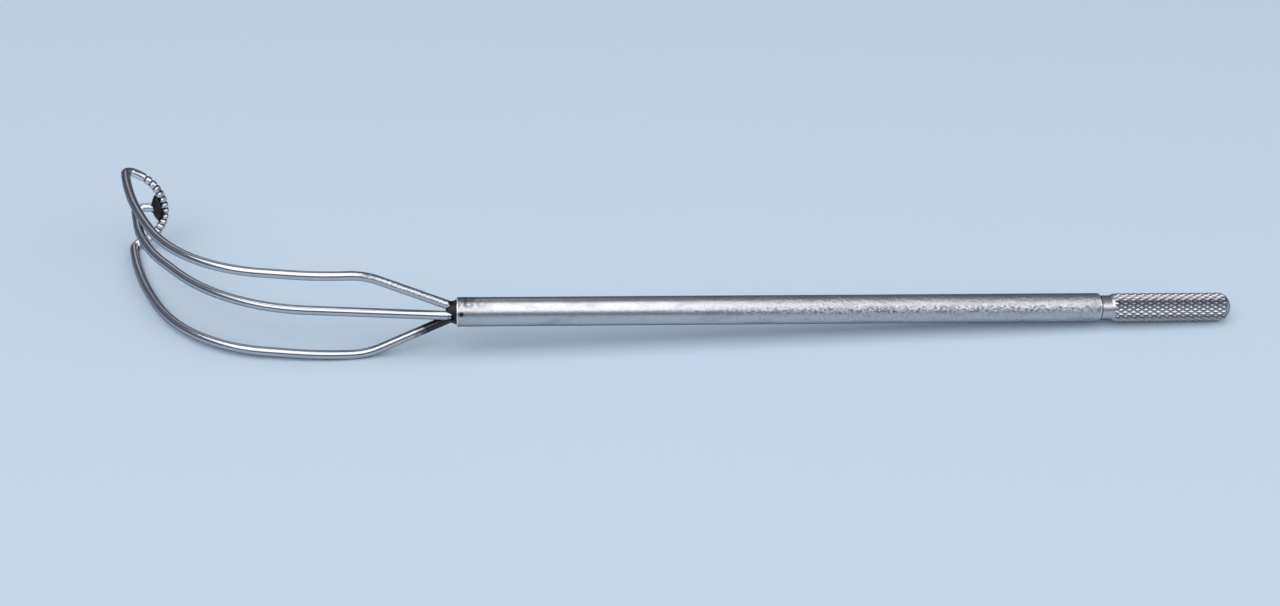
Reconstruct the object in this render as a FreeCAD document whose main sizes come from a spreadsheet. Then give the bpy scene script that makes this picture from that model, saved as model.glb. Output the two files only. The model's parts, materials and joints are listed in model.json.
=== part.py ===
import FreeCAD, Part
import math
import os
import Sketcher

# Wire-frame heart valve retractor. A tube handle carries a knurled plug at one end and, at the
# other, a blade of bent round wire that hooks round and ends in a serrated lip.
# Working frame: the origin is the centre of the tube's mouth, +X runs along the handle towards
# the plug, +Y across the blade and +Z the way the blade hooks. At the end all of it is turned
# so that it lies on its side, as it comes to rest on a table, with +Z up.

Vector = FreeCAD.Vector
SEAM = 0.001
doc = FreeCAD.newDocument("wire_retractor")

# Driving dimensions, millimetres and degrees.
DRIVING = [
    ("wire_dia", 2.0, "diameter of the blade's round wire"),
    ("wire_insertion", 12.0, "depth of the wires in the tube"),
    ("pair_gap", 0.2, "between the two ends of the loop wire in the tube"),
    ("wire_clearance", 0.04, "between the loop wire's ends and the centre wire"),
    ("bore_clearance", 0.1, "between the centre wire and the tube's bore"),
    ("tube_length", 141.3, "length of the handle tube"),
    ("tube_dia", 6.35, "outside diameter of the handle tube"),
    ("tube_wall", 0.5, "wall of the handle tube"),
    ("tube_edge_round", 0.45, "round on the tube's rear outer edge"),
    ("round_land", 0.05, "least flat left beside a round"),
    ("spigot_length", 10.0, "length of the plug inside the tube"),
    ("spigot_clearance", 0.015, "radial clearance of the plug in the tube"),
    ("neck_length", 2.4, "bare neck between tube and grip"),
    ("neck_taper", 1.2, "cone from the neck up to the grip"),
    ("grip_dia", 6.35, "outside diameter of the grip before it is knurled"),
    ("grip_length", 23.7, "straight part of the grip"),
    ("dome_height", 2.4, "height of the grip's domed end"),
    ("knurl_pitch", 1.86, "spacing of the knurl's points along the grip"),
    ("knurl_side_pitch", 1.11, "spacing of the points round the grip"),
    ("knurl_depth", 0.32, "depth of the knurl's grooves"),
    ("knurl_tip_drop", 0.02, "how far the points lie below the grip's own surface"),
    ("knurl_sleeve_wall", 0.8, "how far the knurl's cutter stands out from the grip"),
    ("half_width", 10.0, "centre plane to the centre of a side wire"),
    ("dip_angle", 3.3, "dip of the fanned part of the loop wire"),
    ("mouth_bend_depth", 0.7, "depth in the tube where the fan bend starts"),
    ("mouth_bend_radius", 5.0, "centre-line radius of the fan bend"),
    ("fan_angle", 25.1, "angle of each side wire to the handle"),
    ("knee_radius", 15.0, "centre-line radius where the fan ends"),
    ("rise_radius", 60.0, "slight bend just past the knee"),
    ("rise_angle", 8.1, "slope of the wire after that bend"),
    ("heel_lead", 6.3, "straight run before the heel"),
    ("heel_radius", 34.2, "centre-line radius of the heel"),
    ("heel_angle", 52.9, "turn of the heel"),
    ("leg_radius", 88.7, "centre-line radius of the leg"),
    ("leg_angle", 17.9, "turn of the leg"),
    ("corner_radius", 1.85, "centre-line radius of the corners at the lip"),
    ("lip_entry_angle", 24.4, "heading of the lip's arc where it leaves the corner"),
    ("tooth_pitch", 1.45, "spacing of the lip's notches along the wire"),
    ("tooth_span", 114.0, "part of the lip's arc that is notched"),
    ("notch_depth", 0.3, "depth of a notch"),
    ("notch_width", 0.8, "width of a notch at the surface"),
    ("notch_overshoot", 0.15, "height of the notch's cutter above the surface"),
    ("centre_bend_depth", 1.0, "depth in the tube where the centre wire's first bend starts"),
    ("centre_bend_radius", 20.0, "radius of the centre wire's first bend"),
    ("centre_rise_angle", 4.7, "slope of the centre wire past the mouth"),
    ("centre_heel_radius", 42.6, "centre-line radius of the centre wire's heel"),
    ("centre_heel_lag", 10.2, "how much less its heel has turned than the loop wire's"),
    ("centre_leg_radius", 40.0, "centre-line radius of its leg"),
    ("centre_leg_lag", 1.1, "how much less its leg has turned than the loop wire's"),
    ("stub_length", 3.2, "straight end of the centre wire behind the lip"),
    ("stub_gap", 0.1, "between the centre wire's end and the lip"),
    ("tip_bead_width", 7.4, "brazing bead at the tip, across the blade"),
    ("tip_bead_skin", 0.3, "thickness of that bead above and below the centre wire"),
    ("tip_bead_offset", 1.5, "bead's middle inside the lip's centre line"),
    ("tip_web_radius", 2.4, "hollow round of the bead's web"),
    ("tip_web_thickness", 1.5, "thickness of that web"),
    ("tip_web_lip_bite", 0.5, "how far the web's outline starts inside the lip's wire"),
    ("tip_web_stub_bite", 0.1, "how far it starts inside the centre wire"),
    ("lip_seat_angle", 35.0, "half of the lip's arc that the bead is hollowed for"),
    ("mouth_bead_length", 2.3, "brazing bead standing out of the tube's mouth"),
    ("mouth_bead_nose", 3.8, "diameter of that bead's nose"),
    ("mouth_bead_round", 0.8, "round on the nose"),
]

# Worked out from the driving dimensions. A heading is the slope of a wire against the handle.
DERIVED = [
    ("bore_radius", "dims.tube_dia / 2 - dims.tube_wall"),
    ("bore_pitch", "dims.wire_dia + dims.pair_gap"),
    ("centre_drop", "bore_radius - dims.wire_dia / 2 - dims.bore_clearance"),
    ("wire_lift", "sqrt((dims.wire_dia + dims.wire_clearance) ^ 2 - (bore_pitch / 2) ^ 2) - centre_drop"),
    ("rear_round", "min(dims.tube_edge_round; dims.tube_wall - dims.round_land)"),
    ("nose_round", "min(dims.mouth_bead_round; dims.mouth_bead_nose / 2 - dims.round_land)"),
    ("fan_run", "(dims.half_width - bore_pitch / 2 - (dims.mouth_bend_radius + dims.knee_radius)"
                " * (1 - cos(dims.fan_angle))) / sin(dims.fan_angle)"),
    ("knee_end", "(dims.mouth_bend_radius + dims.knee_radius) * sin(dims.fan_angle)"
                 " + fan_run * cos(dims.fan_angle) - dims.mouth_bend_depth"),
    ("rise_start_x", "-knee_end * cos(dims.dip_angle)"),
    ("rise_start_z", "wire_lift - knee_end * sin(dims.dip_angle)"),
    ("heel_heading", "dims.rise_angle + dims.heel_angle"),
    ("leg_heading", "heel_heading + dims.leg_angle"),
    ("leg_end_x", "rise_start_x - dims.rise_radius * (sin(dims.rise_angle) + sin(dims.dip_angle))"
                  " - dims.heel_lead * cos(dims.rise_angle)"
                  " - dims.heel_radius * (sin(heel_heading) - sin(dims.rise_angle))"
                  " - dims.leg_radius * (sin(leg_heading) - sin(heel_heading))"),
    ("leg_end_z", "rise_start_z + dims.rise_radius * (cos(dims.dip_angle) - cos(dims.rise_angle))"
                  " + dims.heel_lead * sin(dims.rise_angle)"
                  " + dims.heel_radius * (cos(dims.rise_angle) - cos(heel_heading))"
                  " + dims.leg_radius * (cos(heel_heading) - cos(leg_heading))"),
    ("corner_turn", "acos(-cos(leg_heading) * cos(dims.lip_entry_angle)) / 1 deg"),
    ("corner_roll", "asin(sin(dims.lip_entry_angle) / sin(corner_turn)) / 1 deg"),
    ("corner_reach", "dims.corner_radius * (1 - cos(corner_turn))"),
    ("lip_start_x", "leg_end_x - dims.corner_radius * sin(corner_turn) * cos(leg_heading)"
                    " + corner_reach * cos(corner_roll) * sin(leg_heading)"),
    ("lip_z", "leg_end_z + dims.corner_radius * sin(corner_turn) * sin(leg_heading)"
              " + corner_reach * cos(corner_roll) * cos(leg_heading)"),
    ("lip_radius", "(dims.half_width - corner_reach * sin(corner_roll)) / cos(dims.lip_entry_angle)"),
    ("lip_centre_x", "lip_start_x - lip_radius * sin(dims.lip_entry_angle)"),
    ("lip_apex_x", "lip_centre_x + lip_radius"),
    ("lip_surface", "lip_radius + dims.wire_dia / 2"),
    ("tooth_step", "dims.tooth_pitch / lip_radius * 180 / pi"),
    ("teeth_per_side", "floor(dims.tooth_span / 2 / tooth_step)"),
    ("notch_half_mouth", "dims.notch_width / 2 * (1 + dims.notch_overshoot / dims.notch_depth)"),
    ("stub_end_x", "lip_apex_x - dims.wire_dia / 2 - dims.stub_gap"),
    ("centre_heel_heading", "heel_heading - dims.centre_heel_lag"),
    ("centre_leg_heading", "leg_heading - dims.centre_leg_lag"),
    ("centre_heel_angle", "centre_heel_heading - dims.centre_rise_angle"),
    ("centre_leg_angle", "centre_leg_heading - centre_heel_heading"),
]

# The centre wire's straight runs, a lead and two equal ones, cover what its bends leave of the
# way from the tube to its stub: back_to_go along the handle and up_to_go the way the blade hooks.
DERIVED += [
    ("back_to_go", "dims.centre_bend_depth - dims.centre_bend_radius * sin(dims.centre_rise_angle)"
                   " - dims.centre_heel_radius * (sin(centre_heel_heading) - sin(dims.centre_rise_angle))"
                   " - dims.centre_leg_radius * (sin(centre_leg_heading) - sin(centre_heel_heading))"
                   " + dims.corner_radius * sin(centre_leg_heading) + dims.stub_length - stub_end_x"),
    ("up_to_go", "lip_z + centre_drop - dims.centre_bend_radius * (1 - cos(dims.centre_rise_angle))"
                 " - dims.centre_heel_radius * (cos(dims.centre_rise_angle) - cos(centre_heel_heading))"
                 " - dims.centre_leg_radius * (cos(centre_heel_heading) - cos(centre_leg_heading))"
                 " - dims.corner_radius * (1 + cos(centre_leg_heading))"),
    ("runs_back", "cos(centre_heel_heading) + cos(centre_leg_heading)"),
    ("runs_up", "sin(centre_heel_heading) + sin(centre_leg_heading)"),
    ("runs_against_lead", "runs_up * cos(dims.centre_rise_angle) - runs_back * sin(dims.centre_rise_angle)"),
    ("centre_run", "(up_to_go * cos(dims.centre_rise_angle) - back_to_go * sin(dims.centre_rise_angle))"
                   " / runs_against_lead"),
    ("centre_lead", "(back_to_go * runs_up - up_to_go * runs_back) / runs_against_lead"),
    ("grip_start", "dims.tube_length + dims.neck_length + dims.neck_taper"),
    ("grip_end", "grip_start + dims.grip_length"),
    ("dome_radius", "((dims.grip_dia / 2) ^ 2 + dims.dome_height ^ 2) / (2 * dims.dome_height)"),
    ("knurl_high", "dims.grip_dia / 2 - dims.knurl_tip_drop"),
    ("knurl_low", "knurl_high - dims.knurl_depth"),
    ("knurl_points", "round(pi * dims.grip_dia / dims.knurl_side_pitch)"),
    ("knurl_start", "grip_start - dims.neck_taper"),
    ("knurl_step", "dims.knurl_pitch / 2"),
    ("knurl_rows", "ceil((grip_end + dims.dome_height - knurl_start) / knurl_step)"),
    ("tip_bead_bulge", "dims.wire_dia / 2 + dims.tip_bead_skin"),
    ("tip_bead_bow", "((dims.tip_bead_width / 2) ^ 2 + tip_bead_bulge ^ 2) / (2 * tip_bead_bulge)"),
    ("web_lip_side", "dims.tip_web_lip_bite - dims.wire_dia / 2"),
    ("web_stub_side", "dims.wire_dia / 2 - dims.tip_web_stub_bite"),
]


def fill_sheet(name, rows):
    sheet = doc.addObject("Spreadsheet::Sheet", name)
    for line, row in enumerate(rows, start=1):
        sheet.set("A%d" % line, row[0])
        sheet.set("B%d" % line, row[1] if isinstance(row[1], str) else "%g" % row[1])
        sheet.setAlias("B%d" % line, row[0])
        if len(row) > 2:
            sheet.set("C%d" % line, row[2])
    doc.recompute()
    return sheet


dims = fill_sheet("dims", DRIVING)
layout = fill_sheet("layout", [(name, "=" + formula) for name, formula in DERIVED])


def value(expression):
    """The number that an expression over the two sheets gives, angles in degrees."""
    result = dims.evalExpression(str(expression))
    return float(getattr(result, "Value", result))


# Sketches

def new_body(label):
    body = doc.addObject("PartDesign::Body", label)
    body.Label = label
    return body


def origin_plane(body, role):
    return [item for item in body.Origin.OriginFeatures if item.Role == role][0]


def turned(axis, angle):
    """An expression for a turn about an axis, such as "0; 1; 0"."""
    return "rotation(vector(%s); %s)" % (axis, angle)


def offset(x="0", y="0", z="0", turn=turned("0; 0; 1", "0")):
    """An expression for a place measured on a plane: along it, up it and off it."""
    return "placement(vector(%s; %s; %s); %s)" % (x, y, z, turn)


def new_sketch(body, name, plane, at=offset()):
    """A sketch on one of the body's origin planes, moved and turned by an expression."""
    sketch = body.newObject("Sketcher::SketchObject", name)
    sketch.AttachmentSupport = [(origin_plane(body, plane), "")]
    sketch.MapMode = "FlatFace"
    sketch.setExpression("AttachmentOffset", at)
    doc.recompute()
    return sketch


def bind(sketch, kind, *arguments, size):
    """Adds a dimension to a sketch and ties it to an expression."""
    index = sketch.addConstraint(Sketcher.Constraint(kind, *arguments))
    name = "size_%d" % index
    sketch.renameConstraint(index, name)
    sketch.setExpression("Constraints." + name, size)


def place_point(sketch, geometry, point, x, y):
    """Ties a point of the sketch to a place measured from its origin."""
    for kind, size, axis in (("DistanceX", x, -2), ("DistanceY", y, -1)):
        number = value(size)
        if abs(number) < 1e-9:
            sketch.addConstraint(Sketcher.Constraint("PointOnObject", geometry, point, axis))
        elif number > 0:
            bind(sketch, kind, -1, 1, geometry, point, number, size=size)
        else:
            bind(sketch, kind, geometry, point, -1, 1, -number, size="-(%s)" % size)


def draw_circle(sketch, diameter):
    """A circle about the sketch's origin."""
    number = value(diameter)
    circle = sketch.addGeometry(Part.Circle(Vector(0, 0, 0), Vector(0, 0, 1), number / 2))
    sketch.addConstraint(Sketcher.Constraint("Coincident", circle, 3, -1, 1))
    bind(sketch, "Diameter", circle, number, size=diameter)


def draw_outline(sketch, corners, close=True):
    """Straight-sided outline whose corners are placed by expressions. Returns its edges."""
    points = [Vector(value(x), value(y), 0) for x, y in corners]
    followers = points[1:] + points[:1] if close else points[1:]
    edges = [sketch.addGeometry(Part.LineSegment(*pair)) for pair in zip(points, followers)]
    for number, edge in enumerate(edges):
        place_point(sketch, edge, 1, *corners[number])
        if close or edge != edges[-1]:
            next_edge = edges[(number + 1) % len(edges)]
            sketch.addConstraint(Sketcher.Constraint("Coincident", edge, 2, next_edge, 1))
    if not close:
        place_point(sketch, edges[-1], 2, *corners[-1])
    return edges


def draw_bend(sketch, point, forward, radius, turn):
    """An arc that leaves a point along a direction. Returns it, its first and last ends as the
    sketch numbers them, and the point that it reaches."""
    side = math.copysign(1, turn)
    middle = point + Vector(-forward.y, forward.x, 0) * (side * radius)
    first = math.atan2(forward.y, forward.x) - side * math.pi / 2
    span = (first, first + turn) if turn > 0 else (first + turn, first)
    circle = Part.Circle(middle, Vector(0, 0, 1), radius)
    arc = sketch.addGeometry(Part.ArcOfCircle(circle, *span))
    last = first + turn
    tip = middle + Vector(math.cos(last), math.sin(last), 0) * radius
    return arc, (1, 2) if turn > 0 else (2, 1), tip


def draw_centre_line(sketch, start, heading, steps):
    """Draws a wire's centre line as a bender makes it: runs of a length, and bends of a radius
    and an angle, to the left where the angle is positive. The first run is level."""
    point = Vector(value(start[0]), value(start[1]), 0)
    angle = math.radians(value(heading))
    last = None
    for step in steps:
        forward = Vector(math.cos(angle), math.sin(angle), 0)
        if len(step) == 1:
            ends, tip = (1, 2), point + forward * value(step[0])
            index = sketch.addGeometry(Part.LineSegment(point, tip))
            bind(sketch, "Distance", index, value(step[0]), size=step[0])
        else:
            turn = math.radians(value(step[1]))
            index, ends, tip = draw_bend(sketch, point, forward, value(step[0]), turn)
            bind(sketch, "Angle", index, abs(turn), size="abs(%s)" % step[1])
            angle += turn
        if last:
            sketch.addConstraint(Sketcher.Constraint("Tangent", last[0], last[1], index, ends[0]))
        else:
            place_point(sketch, index, ends[0], *start)
        if len(step) == 1 and not last:
            sketch.addConstraint(Sketcher.Constraint("Horizontal", index))
        elif len(step) == 2 and last:
            bind(sketch, "Radius", index, value(step[0]), size=step[0])
        elif len(step) == 2:
            side = math.copysign(1, turn)
            place_point(sketch, index, 3,
                        "%s - %s * (%s) * sin(%s)" % (start[0], step[0], side, heading),
                        "%s + %s * (%s) * cos(%s)" % (start[1], step[0], side, heading))
        last = (index, ends[1])
        point = tip
    doc.recompute()


# Features

def pad(body, name, sketch, length, middle=False):
    feature = body.newObject("PartDesign::Pad", name)
    feature.Profile = sketch
    feature.Midplane = middle
    feature.setExpression("Length", length)
    doc.recompute()
    return feature


def turn_round(body, name, sketch, axis, kind="PartDesign::Revolution"):
    """Turns a profile all the way round one of its sketch's axes, to add or to cut."""
    feature = body.newObject(kind, name)
    feature.Profile = sketch
    feature.ReferenceAxis = (sketch, [axis])
    feature.Angle = 360
    doc.recompute()
    return feature


def round_edges(body, name, base, wanted, radius):
    """Rounds the edges of a feature that a test picks out."""
    edges = ["Edge%d" % number for number, edge in enumerate(base.Shape.Edges, start=1) if wanted(edge)]
    feature = body.newObject("PartDesign::Fillet", name)
    feature.Base = (base, edges)
    feature.setExpression("Radius", radius)
    doc.recompute()


def sweep_wire(body, name, path, start, kind="PartDesign::AdditivePipe"):
    """Sweeps the round wire's section along a centre line, from the line's start."""
    first = path.Placement.multVec(Vector(value(start[0]), value(start[1]), 0))
    for number, edge in enumerate(path.Shape.Edges, start=1):
        for end, parameter in enumerate(edge.ParameterRange):
            if edge.valueAt(parameter).distanceToPoint(first) < 1e-6:
                first_edge, first_end = "Edge%d" % number, end
    section = body.newObject("Sketcher::SketchObject", name + "_section")
    section.AttachmentSupport = [(path, first_edge)]
    section.MapMode = "NormalToEdge"
    section.MapPathParameter = first_end
    draw_circle(section, "dims.wire_dia")
    pipe = body.newObject(kind, name)
    pipe.Profile = section
    pipe.Spine = path
    doc.recompute()


def bend_wire(body, name, path, start, heading, steps):
    """One planar stretch of a bent wire."""
    draw_centre_line(path, start, heading, steps)
    sweep_wire(body, name, path, start)


# Handle tube

def make_handle_tube():
    body = new_body("handle_tube")
    ring = new_sketch(body, "tube_section", "YZ_Plane")
    draw_circle(ring, "dims.tube_dia")
    draw_circle(ring, "layout.bore_radius * 2")
    tube = pad(body, "tube_wall_pad", ring, "dims.tube_length")
    rear = value("dims.tube_length")
    rim_length = math.pi * value("dims.tube_dia")
    round_edges(body, "rear_edge_round", tube,
                lambda edge: abs(edge.CenterOfMass.x - rear) < 1e-6 and abs(edge.Length - rim_length) < 1e-3,
                "layout.rear_round")
    return body


# Knurled grip: a plug turned from bar, with a spigot in the tube and a domed end, then knurled

def make_grip_blank():
    body = new_body("grip_blank")
    spigot = "layout.bore_radius - dims.spigot_clearance"
    profile = new_sketch(body, "grip_profile", "XZ_Plane")
    corners = [
        ("dims.tube_length - dims.spigot_length", "0"),
        ("dims.tube_length - dims.spigot_length", spigot),
        ("dims.tube_length + dims.neck_length", spigot),
        ("layout.grip_start", "dims.grip_dia / 2"),
        ("layout.grip_end", "dims.grip_dia / 2"),
    ]
    edges = draw_outline(profile, corners, close=False)
    tip = Vector(value("layout.grip_end + dims.dome_height"), 0, 0)
    radius = value("layout.dome_radius")
    circle = Part.Circle(tip - Vector(radius, 0, 0), Vector(0, 0, 1), radius)
    dome = profile.addGeometry(Part.ArcOfCircle(circle, 0, math.asin(value("dims.grip_dia / 2") / radius)))
    profile.addConstraint(Sketcher.Constraint("Coincident", dome, 2, edges[-1], 2))
    profile.addConstraint(Sketcher.Constraint("PointOnObject", dome, 3, -1))
    place_point(profile, dome, 1, "layout.grip_end + dims.dome_height", "0")
    foot = Vector(value(corners[0][0]), 0, 0)
    axis = profile.addGeometry(Part.LineSegment(tip, foot))
    profile.addConstraint(Sketcher.Constraint("Coincident", axis, 1, dome, 1))
    profile.addConstraint(Sketcher.Constraint("Coincident", axis, 2, edges[0], 1))
    turn_round(body, "grip_turning", profile, "H_Axis")
    return body


def make_knurl_cutter():
    """What the knurling takes off: a sleeve whose inside is a net of points. Every second point
    is low, and straight grooves run from low to low point both ways round the grip. The sleeve
    reaches from the foot of the cone past the dome, so that the grooves run out on both."""
    sides = 2 * int(value("layout.knurl_points"))
    high, low = value("layout.knurl_high"), value("layout.knurl_low")
    outside = value("dims.grip_dia / 2 + dims.knurl_sleeve_wall")
    start, step = value("layout.knurl_start"), value("layout.knurl_step")
    rows = int(value("layout.knurl_rows"))
    points = []
    for row in range(rows + 1):
        points += ring_of_points(start + row * step, [(low, high)[(row + place) % 2] for place in range(sides)])
    points += ring_of_points(start + rows * step, [outside] * sides)
    points += ring_of_points(start, [outside] * sides)
    sleeve = Part.Shape()
    sleeve.makeShapeFromMesh((points, join_rings(sides, len(points) // sides)), SEAM)
    cutter = doc.addObject("Part::Feature", "knurl_cutter")
    cutter.Shape = Part.Solid(sleeve)
    return cutter


def ring_of_points(x, radii):
    """Points round the handle, evenly turned, each at its own radius."""
    turns = [2 * math.pi * place / len(radii) for place in range(len(radii))]
    return [Vector(x, radius * math.cos(turn), radius * math.sin(turn)) for radius, turn in zip(radii, turns)]


def join_rings(sides, rings):
    """Triangles from each ring to the next and from the last to the first, split from low to
    low point."""
    triangles = []
    for ring in range(rings):
        for place in range(sides):
            side = (place + 1) % sides
            a, b = ring * sides + place, ring * sides + side
            c, d = [(ring + 1) % rings * sides + corner for corner in (side, place)]
            if (ring + place) % 2 == 0:
                triangles += [(a, c, b), (a, d, c)]
            else:
                triangles += [(a, d, b), (b, d, c)]
    return triangles


# Loop wire: one length of wire, out of the tube, round the hook, across the lip and back

def make_outer_loop_wire():
    body = new_body("outer_loop_wire")
    fan = new_sketch(body, "fan_path", "XY_Plane",
                     offset(z="layout.wire_lift", turn=turned("0; 1; 0", "-dims.dip_angle")))
    bend_wire(body, "fan", fan, ("dims.wire_insertion", "layout.bore_pitch / 2"), "180", [
        ("dims.wire_insertion - dims.mouth_bend_depth",),
        ("dims.mouth_bend_radius", "-dims.fan_angle"),
        ("layout.fan_run",),
        ("dims.knee_radius", "dims.fan_angle"),
    ])
    hook = new_sketch(body, "hook_path", "XZ_Plane", offset(z="-dims.half_width"))
    bend_wire(body, "hook", hook, ("layout.rise_start_x", "layout.rise_start_z"), "180 + dims.dip_angle", [
        ("dims.rise_radius", "-(dims.dip_angle + dims.rise_angle)"),
        ("dims.heel_lead",),
        ("dims.heel_radius", "-dims.heel_angle"),
        ("dims.leg_radius", "-dims.leg_angle"),
    ])
    # The corner's plane leans out of the hook's, so that the wire leaves it along the lip.
    lean = "%s * %s" % (turned("0; 0; 1", "180 - layout.leg_heading"),
                        turned("1; 0; 0", "180 - layout.corner_roll"))
    corner = new_sketch(body, "corner_path", "XZ_Plane",
                        offset("layout.leg_end_x", "layout.leg_end_z", "-dims.half_width", lean))
    bend_wire(body, "corner", corner, ("0", "0"), "0", [("dims.corner_radius", "layout.corner_turn")])
    at_lip = offset("layout.lip_centre_x", "0", "layout.lip_z")
    lip = new_sketch(body, "lip_path", "XY_Plane", at_lip)
    bend_wire(body, "lip", lip, ("layout.lip_radius", "0"), "90", [
        ("layout.lip_radius", "90 - dims.lip_entry_angle"),
    ])
    other_side = body.newObject("PartDesign::Mirrored", "other_side")
    other_side.TransformMode = "Whole shape"
    other_side.MirrorPlane = (origin_plane(body, "XZ_Plane"), [""])
    body.Tip = other_side
    doc.recompute()
    cut_teeth(body, at_lip)
    return body


def cut_teeth(body, at_lip):
    """Notches the lip all round its wire: one turned notch, repeated both ways along the arc."""
    profile = new_sketch(body, "notch_profile", "XY_Plane", at_lip)
    mouth = "layout.lip_surface + dims.notch_overshoot"
    draw_outline(profile, [
        ("layout.lip_surface - dims.notch_depth", "0"),
        (mouth, "layout.notch_half_mouth"),
        (mouth, "-layout.notch_half_mouth"),
    ])
    radius, reach = value("layout.lip_radius"), value("dims.wire_dia") / 2
    core = Part.LineSegment(Vector(radius, -reach, 0), Vector(radius, reach, 0))
    wire_axis = profile.addGeometry(core, True)
    profile.addConstraint(Sketcher.Constraint("Symmetric", wire_axis, 1, wire_axis, 2, -1))
    bind(profile, "DistanceX", -1, 1, wire_axis, 1, radius, size="layout.lip_radius")
    bind(profile, "Distance", wire_axis, 2 * reach, size="dims.wire_dia")
    notch = turn_round(body, "notch", profile, "Axis0", "PartDesign::Groove")
    for name, back in (("teeth_one_way", False), ("teeth_other_way", True)):
        row = body.newObject("PartDesign::PolarPattern", name)
        row.Originals = [notch]
        row.Axis = (profile, ["N_Axis"])
        row.Reversed = back
        row.setExpression("Occurrences", "layout.teeth_per_side + 1")
        row.setExpression("Angle", "layout.teeth_per_side * layout.tooth_step")
        body.Tip = row
        doc.recompute()


# Centre wire: bows inside the loop and ends in a stub against the lip

def make_centre_wire():
    body = new_body("centre_wire")
    path = new_sketch(body, "centre_path", "XZ_Plane")
    bend_wire(body, "centre", path, ("dims.wire_insertion", "-layout.centre_drop"), "180", [
        ("dims.wire_insertion - dims.centre_bend_depth",),
        ("dims.centre_bend_radius", "-dims.centre_rise_angle"),
        ("layout.centre_lead",),
        ("dims.centre_heel_radius", "-layout.centre_heel_angle"),
        ("layout.centre_run",),
        ("dims.centre_leg_radius", "-layout.centre_leg_angle"),
        ("layout.centre_run",),
        ("dims.corner_radius", "-(180 - layout.centre_leg_heading)"),
        ("dims.stub_length",),
    ])
    return body


# Brazing filler at the tip and at the tube's mouth

def make_tip_braze():
    """A bead round the lip's middle, with a web along the centre wire, both hollow where the
    two wires lie in them."""
    body = new_body("tip_braze")
    bead = new_sketch(body, "bead_profile", "XY_Plane",
                      offset("layout.lip_apex_x - dims.tip_bead_offset", "0", "layout.lip_z"))
    draw_bead(bead)
    turn_round(body, "bead", bead, "V_Axis")
    web = new_sketch(body, "web_outline", "XY_Plane", offset("layout.lip_apex_x", "0", "layout.lip_z"))
    draw_web(web)
    pad(body, "web", web, "dims.tip_web_thickness", middle=True)
    seat = new_sketch(body, "lip_seat_path", "XY_Plane", offset("layout.lip_centre_x", "0", "layout.lip_z"))
    start = ("layout.lip_radius * cos(dims.lip_seat_angle)", "-layout.lip_radius * sin(dims.lip_seat_angle)")
    draw_centre_line(seat, start, "90 - dims.lip_seat_angle", [
        ("layout.lip_radius", "2 * dims.lip_seat_angle"),
    ])
    sweep_wire(body, "lip_seat", seat, start, "PartDesign::SubtractivePipe")
    stub = new_sketch(body, "stub_section", "YZ_Plane", offset("0", "layout.lip_z", "layout.stub_end_x"))
    draw_circle(stub, "dims.wire_dia")
    socket = body.newObject("PartDesign::Pocket", "stub_socket")
    socket.Profile = stub
    socket.setExpression("Length", "dims.stub_length")
    doc.recompute()
    return body


def draw_bead(sketch):
    """Half of a spindle's outline: a bowed edge and a chord on the axis across the blade."""
    half, bulge = value("dims.tip_bead_width / 2"), value("layout.tip_bead_bulge")
    front, back = Vector(0, half, 0), Vector(0, -half, 0)
    bow = sketch.addGeometry(Part.Arc(back, Vector(bulge, 0, 0), front))
    chord = sketch.addGeometry(Part.LineSegment(front, back))
    place_point(sketch, chord, 1, "0", "dims.tip_bead_width / 2")
    place_point(sketch, chord, 2, "0", "-dims.tip_bead_width / 2")
    sketch.addConstraint(Sketcher.Constraint("Coincident", bow, 1, chord, 2))
    sketch.addConstraint(Sketcher.Constraint("Coincident", bow, 2, chord, 1))
    bind(sketch, "Radius", bow, value("layout.tip_bead_bow"), size="layout.tip_bead_bow")


def draw_web(sketch):
    """The web's outline: two quarter rounds run from the lip's wire to the centre wire."""
    radius = value("dims.tip_web_radius")
    middle_x = "layout.web_lip_side - dims.tip_web_radius"
    middle_y = "layout.web_stub_side + dims.tip_web_radius"
    sides = []
    for sign, quarter, stub_end, lip_end in (("", (-math.pi / 2, 0), 1, 2), ("-", (0, math.pi / 2), 2, 1)):
        middle = Vector(value(middle_x), value("%s(%s)" % (sign, middle_y)), 0)
        circle = Part.Circle(middle, Vector(0, 0, 1), radius)
        arc = sketch.addGeometry(Part.ArcOfCircle(circle, *quarter))
        place_point(sketch, arc, 3, middle_x, "%s(%s)" % (sign, middle_y))
        place_point(sketch, arc, stub_end, middle_x, "%s(layout.web_stub_side)" % sign)
        sketch.addConstraint(Sketcher.Constraint("Horizontal", arc, 3, arc, lip_end))
        sides.append({"arc": arc, "stub": stub_end, "lip": lip_end})
    front, back = sides
    for end in ("stub", "lip"):
        points = [sketch.getPoint(side["arc"], side[end]) for side in sides]
        line = sketch.addGeometry(Part.LineSegment(*points))
        sketch.addConstraint(Sketcher.Constraint("Coincident", line, 1, front["arc"], front[end]))
        sketch.addConstraint(Sketcher.Constraint("Coincident", line, 2, back["arc"], back[end]))


def make_mouth_bead():
    """Filler between the wires in the tube, with a rounded nose out of the mouth."""
    body = new_body("mouth_bead")
    profile = new_sketch(body, "mouth_bead_profile", "XZ_Plane")
    draw_outline(profile, [
        ("dims.wire_insertion", "0"),
        ("dims.wire_insertion", "layout.bore_radius"),
        ("0", "layout.bore_radius"),
        ("-dims.mouth_bead_length", "dims.mouth_bead_nose / 2"),
        ("-dims.mouth_bead_length", "0"),
    ])
    turning = turn_round(body, "bead_turning", profile, "H_Axis")
    nose = -value("dims.mouth_bead_length")
    round_edges(body, "nose_round", turning,
                lambda edge: abs(edge.CenterOfMass.x - nose) < 1e-6, "layout.nose_round")
    return body


# Cuts between whole pieces, made where the pieces lie

def fuse(name, pieces):
    both = doc.addObject("Part::MultiFuse", name)
    both.Shapes = pieces
    doc.recompute()
    return both


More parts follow.
